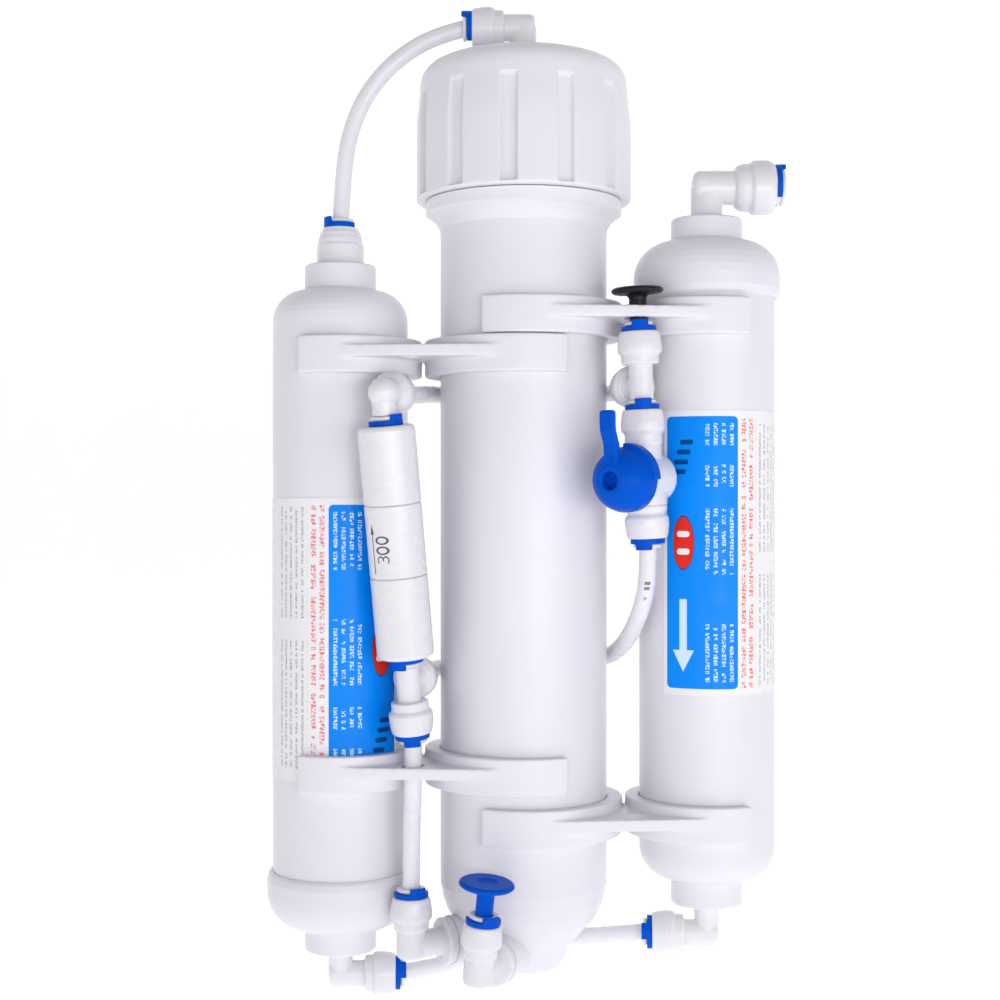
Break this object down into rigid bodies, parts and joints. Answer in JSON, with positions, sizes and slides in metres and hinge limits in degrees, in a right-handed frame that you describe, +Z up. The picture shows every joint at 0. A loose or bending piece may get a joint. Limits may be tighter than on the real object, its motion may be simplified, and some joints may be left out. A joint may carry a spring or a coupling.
{
  "type": "reverse osmosis unit",
  "caption": "Portable aquarium reverse osmosis unit: membrane vessel, two inline cartridges in double clips, flow restrictor, flush valve and push-fit tubes.",
  "frame": {"origin": "on the membrane vessel's axis, halfway along the free stretch of tube that a wall clip grips", "axes": "+Z up the vessel's axis to its capped end, -Y to the front where the valve handle is, +X to the sediment cartridge"},
  "size_m": [0.1959, 0.095, 0.3739],
  "materials": {
    "white_housing": "satin moulded polypropylene",
    "white_clip": "satin moulded polypropylene",
    "fitting_plastic": "smooth natural acetal, slightly translucent",
    "tube_plastic": "smooth polyethylene, slightly translucent",
    "blue_plastic": "smooth moulded",
    "black_plastic": "smooth moulded",
    "printed_label": "glossy printed film",
    "seal_rubber": "matte",
    "membrane_wrap": "taped film wrap",
    "inner_plastic": "moulded",
    "carbon_granules": "granular",
    "filter_fibre": "spun fibre",
    "seat_plastic": "smooth"
  },
  "bodies": {
    "unit": {"vessel_tube": "white_housing", "vessel_cap": "white_housing", "cap_seal": "seal_rubber", "membrane_roll": "membrane_wrap", "membrane_core_tube": "inner_plastic", "membrane_end_caps": "inner_plastic", "brine_seal": "seal_rubber", "stub_seals": "seal_rubber", "carbon_shell": "white_housing", "carbon_end_cap": "white_housing", "carbon_label": "printed_label", "carbon_bed": "carbon_granules", "carbon_pads": "filter_fibre", "sediment_shell": "white_housing", "sediment_end_cap": "white_housing", "sediment_label": "printed_label", "sediment_core": "filter_fibre", "sediment_core_discs": "inner_plastic", "clip_upper_left": "white_clip", "clip_lower_left": "white_clip", "clip_upper_right": "white_clip", "clip_lower_right": "white_clip", "restrictor_upper": "fitting_plastic", "restrictor_sleeve": "fitting_plastic", "restrictor_lower": "fitting_plastic", "restrictor_capillary": "inner_plastic", "valve_body": "fitting_plastic", "valve_end": "fitting_plastic", "valve_seats": "seat_plastic", "valve_stem_seal": "seal_rubber", "collets": "fitting_plastic", "feed_collet": "fitting_plastic", "port_seals": "seal_rubber", "locking_clips": "blue_plastic", "cap_elbow": "fitting_plastic", "carbon_outlet_connector": "fitting_plastic", "carbon_inlet_elbow": "fitting_plastic", "sediment_outlet_elbow": "fitting_plastic", "feed_inlet_elbow": "fitting_plastic", "concentrate_elbow": "fitting_plastic", "permeate_elbow": "fitting_plastic", "flush_tee": "fitting_plastic", "drain_tee": "fitting_plastic", "restrictor_elbow": "fitting_plastic", "tube_feed_arc": "tube_plastic", "tube_cross": "tube_plastic", "tube_concentrate": "tube_plastic", "tube_restrictor": "tube_plastic", "tube_flush": "tube_plastic"},
    "flush_valve": {"valve_handle": "blue_plastic", "valve_stem": "inner_plastic", "valve_ball": "inner_plastic"},
    "drain_plug_body": {"drain_plug": "black_plastic"},
    "permeate_plug_body": {"permeate_plug": "blue_plastic"},
    "feed_clip_body": {"feed_clip": "blue_plastic"},
    "permeate_clip_body": {"permeate_clip": "blue_plastic"},
    "drain_clip_body": {"drain_clip": "blue_plastic"}
  },
  "joints": [
    {"name": "flush_valve_turn", "type": "hinge", "parent": "unit", "child": "flush_valve", "pos_m": [0.04374, -0.02593, 0.00776], "axis": [0.5995, 0.7993, 0.0424], "range_deg": [0, 90]},
    {"name": "drain_plug_pull", "type": "slide", "parent": "unit", "child": "drain_plug_body", "axis": [-0.0439, -0.02, 0.9988], "range_m": [0, 0.02]},
    {"name": "permeate_plug_pull", "type": "slide", "parent": "unit", "child": "permeate_plug_body", "axis": [0.0939, -0.0856, 0.9919], "range_m": [0, 0.02]},
    {"name": "feed_clip_pull", "type": "slide", "parent": "unit", "child": "feed_clip_body", "axis": [0, 0.0995, 0.995], "range_m": [0, 0.015]},
    {"name": "permeate_clip_pull", "type": "slide", "parent": "unit", "child": "permeate_clip_body", "axis": [0.4741, -0.8722, -0.1202], "range_m": [0, 0.012]},
    {"name": "drain_clip_pull", "type": "slide", "parent": "unit", "child": "drain_clip_body", "axis": [0.0009, -0.9998, -0.02], "range_m": [0, 0.012]}
  ]
}
